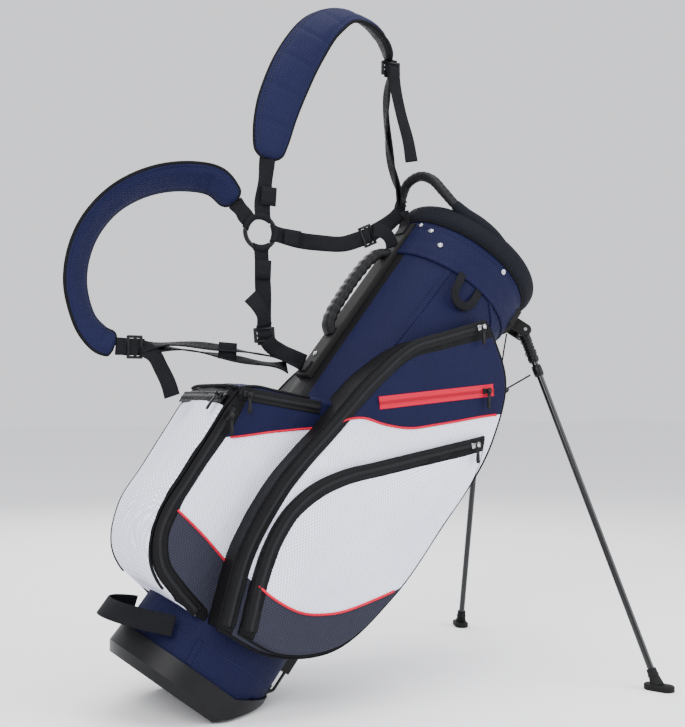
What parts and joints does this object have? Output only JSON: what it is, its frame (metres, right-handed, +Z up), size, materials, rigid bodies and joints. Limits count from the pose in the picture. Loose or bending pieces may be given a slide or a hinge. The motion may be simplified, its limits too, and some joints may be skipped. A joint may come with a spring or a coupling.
{
  "type": "golf stand bag",
  "caption": "Leaning golf bag with slotted top, zip pockets, double shoulder harness and two legs that spread when its hinged ground plate closes.",
  "frame": {"origin": "middle of the underside of the ground plate that the bag stands on", "axes": "+Z up; +X from the ground plate towards the two feet; +Y towards the far side, away from the panel pocket"},
  "size_m": [0.9122, 0.6064, 1.1302],
  "materials": {
    "navy_fabric": "hex weave nylon, matt",
    "grey_fabric": "hex weave nylon, matt",
    "trim_black": "woven webbing and binding",
    "rim_mesh": "padded spacer mesh",
    "pad_navy": "padded nylon",
    "red_zip": "red coil zip",
    "moulded_black": "moulded, lightly grained",
    "leg_gloss": "gloss black",
    "rubber_black": "matt rubber",
    "bright_metal": "bright plated",
    "steel_wire": "drawn wire",
    "black_plastic_gloss": "satin black"
  },
  "bodies": {
    "bag": {"bag_tube": "navy_fabric", "ball_pocket": "navy_fabric", "ball_zip_tapes": "trim_black", "base_boot": "moulded_black", "buckles": "black_plastic_gloss", "cuff_band": "navy_fabric", "dividers": "trim_black", "grab_loop": "trim_black", "harness_anchors": "black_plastic_gloss", "harness_ring": "black_plastic_gloss", "leg_bracket": "moulded_black", "leg_pins": "bright_metal", "lid_zip_tape": "trim_black", "lift_handle": "rim_mesh", "long_zip_tapes": "trim_black", "pad_straps": "trim_black", "panel_pocket": "grey_fabric", "panel_zip_tape": "trim_black", "plate_pin": "bright_metal", "red_zip_tape": "red_zip", "retract_cords": "trim_black", "rim_pad": "rim_mesh", "ring_webs": "trim_black", "rivets": "bright_metal", "rod_guide": "trim_black", "shoulder_pad_lower": "pad_navy", "shoulder_pad_upper": "pad_navy", "side_pocket_far": "navy_fabric", "side_pocket_near": "navy_fabric", "spine_handle": "moulded_black", "spine_plate": "moulded_black", "stay_rods": "moulded_black", "top_collar": "moulded_black", "towel_loop": "trim_black"},
    "leg_near": {"leg_socket_near": "moulded_black", "leg_tube_near": "leg_gloss", "leg_foot_near": "rubber_black"},
    "leg_far": {"leg_socket_far": "moulded_black", "leg_tube_far": "leg_gloss", "leg_foot_far": "rubber_black"},
    "plate": {"ground_plate": "moulded_black"},
    "rod": {"push_rod": "steel_wire"},
    "yoke": {"rod_yoke": "steel_wire"},
    "head": {"rod_head": "moulded_black"},
    "link_near": {"spreader_link_near": "steel_wire"},
    "link_far": {"spreader_link_far": "steel_wire"},
    "long_zip_near_runner": {"long_zip_near_slider": "bright_metal"},
    "long_zip_near_tab": {"long_zip_near_pull": "black_plastic_gloss"},
    "long_zip_far_runner": {"long_zip_far_slider": "bright_metal"},
    "long_zip_far_tab": {"long_zip_far_pull": "black_plastic_gloss"},
    "panel_zip_runner": {"panel_zip_slider": "bright_metal"},
    "panel_zip_tab": {"panel_zip_pull": "black_plastic_gloss"},
    "red_zip_runner": {"red_zip_slider": "black_plastic_gloss"},
    "red_zip_tab": {"red_zip_pull": "black_plastic_gloss"},
    "ball_zip_side_runner": {"ball_zip_side_slider": "bright_metal"},
    "ball_zip_side_tab": {"ball_zip_side_pull": "black_plastic_gloss"},
    "ball_zip_back_runner": {"ball_zip_back_slider": "bright_metal"},
    "ball_zip_back_tab": {"ball_zip_back_pull": "black_plastic_gloss"},
    "lid_zip_runner": {"lid_zip_slider": "bright_metal"},
    "lid_zip_tab": {"lid_zip_pull": "black_plastic_gloss"}
  },
  "joints": [
    {"name": "leg_near_fold", "type": "hinge", "parent": "bag", "child": "leg_near", "pos_m": [0.55681, -0.055, 0.58273], "axis": [0.3622, 0.8881, -0.283], "range_deg": [0, 50.57]},
    {"name": "leg_far_fold", "type": "hinge", "parent": "bag", "child": "leg_far", "pos_m": [0.55681, 0.055, 0.58273], "axis": [-0.3622, 0.8881, 0.283], "range_deg": [0, 50.59]},
    {"name": "plate_fold", "type": "hinge", "parent": "bag", "child": "plate", "pos_m": [-0.0405, 0, 0.005], "axis": [0, 1, 0], "range_deg": [0, 38.02]},
    {"name": "rod_slide", "type": "slide", "parent": "bag", "child": "rod", "axis": [-0.6157, 0, -0.788], "range_m": [0, 0.0587]},
    {"name": "yoke_swing", "type": "hinge", "parent": "rod", "child": "yoke", "pos_m": [0.36487, 0, 0.36468], "axis": [0, -1, 0], "range_deg": [0, 13.97]},
    {"name": "head_level", "type": "hinge", "parent": "yoke", "child": "head", "pos_m": [0.54295, 0, 0.48252], "axis": [0, 1, 0], "range_deg": [0, 13.97]},
    {"name": "link_near_swing", "type": "hinge", "parent": "head", "child": "link_near", "pos_m": [0.54295, -0.022, 0.48252], "axis": [-0.788, 0, 0.6157], "range_deg": [0, 27.56]},
    {"name": "link_far_swing", "type": "hinge", "parent": "head", "child": "link_far", "pos_m": [0.54295, 0.022, 0.48252], "axis": [0.788, 0, -0.6157], "range_deg": [0, 27.56]},
    {"name": "long_zip_near_run", "type": "slide", "parent": "bag", "child": "long_zip_near_runner", "axis": [-0.9661, 0, -0.258], "range_m": [0, 0.108]},
    {"name": "long_zip_near_swing", "type": "hinge", "parent": "long_zip_near_runner", "child": "long_zip_near_tab", "pos_m": [0.40051, -0.1476, 0.58152], "axis": [0, -1, 0], "range_deg": [-60, 60]},
    {"name": "long_zip_far_run", "type": "slide", "parent": "bag", "child": "long_zip_far_runner", "axis": [-0.9661, 0, -0.258], "range_m": [0, 0.108]},
    {"name": "long_zip_far_swing", "type": "hinge", "parent": "long_zip_far_runner", "child": "long_zip_far_tab", "pos_m": [0.40051, 0.1476, 0.58152], "axis": [0, 1, 0], "range_deg": [-60, 60]},
    {"name": "panel_zip_run", "type": "slide", "parent": "bag", "child": "panel_zip_runner", "axis": [-0.9836, 0, -0.1803], "range_m": [0, 0.218]},
    {"name": "panel_zip_swing", "type": "hinge", "parent": "panel_zip_runner", "child": "panel_zip_tab", "pos_m": [0.3802, -0.1586, 0.39238], "axis": [0, -1, 0], "range_deg": [-60, 60]},
    {"name": "red_zip_run", "type": "slide", "parent": "bag", "child": "red_zip_runner", "axis": [-0.9955, 0, -0.0943], "range_m": [0, 0.182]},
    {"name": "red_zip_swing", "type": "hinge", "parent": "red_zip_runner", "child": "red_zip_tab", "pos_m": [0.41019, -0.1476, 0.47878], "axis": [0, -1, 0], "range_deg": [-60, 60]},
    {"name": "ball_zip_side_run", "type": "slide", "parent": "bag", "child": "ball_zip_side_runner", "axis": [-0.5659, 0, -0.8244], "range_m": [0, 0.142]},
    {"name": "ball_zip_side_swing", "type": "hinge", "parent": "ball_zip_side_runner", "child": "ball_zip_side_tab", "pos_m": [-0.01586, -0.1006, 0.44008], "axis": [0, -1, 0], "range_deg": [-60, 60]},
    {"name": "ball_zip_back_run", "type": "slide", "parent": "bag", "child": "ball_zip_back_runner", "axis": [0, 1, 0], "range_m": [0, 0.15]},
    {"name": "ball_zip_back_swing", "type": "hinge", "parent": "ball_zip_back_runner", "child": "ball_zip_back_tab", "pos_m": [-0.02059, -0.077, 0.4703], "axis": [-0.8282, 0, 0.5604], "range_deg": [-60, 60]},
    {"name": "lid_zip_run", "type": "slide", "parent": "bag", "child": "lid_zip_runner", "axis": [0.9865, 0, -0.1638], "range_m": [0, 0.088]},
    {"name": "lid_zip_swing", "type": "hinge", "parent": "lid_zip_runner", "child": "lid_zip_tab", "pos_m": [0.01264, -0.1006, 0.47274], "axis": [0, -1, 0], "range_deg": [-60, 60]}
  ],
  "couplings": [
    {"joint": "leg_far_fold", "follows": "leg_near_fold", "ratio": 1},
    {"joint": "plate_fold", "follows": "leg_near_fold", "ratio": 0.75134},
    {"joint": "rod_slide", "follows": "leg_near_fold", "m_per_rad": 0.066381},
    {"joint": "yoke_swing", "follows": "leg_near_fold", "ratio": 0.27556},
    {"joint": "head_level", "follows": "leg_near_fold", "ratio": 0.27556},
    {"joint": "link_near_swing", "follows": "leg_near_fold", "ratio": 0.54423},
    {"joint": "link_far_swing", "follows": "leg_near_fold", "ratio": 0.54423}
  ]
}
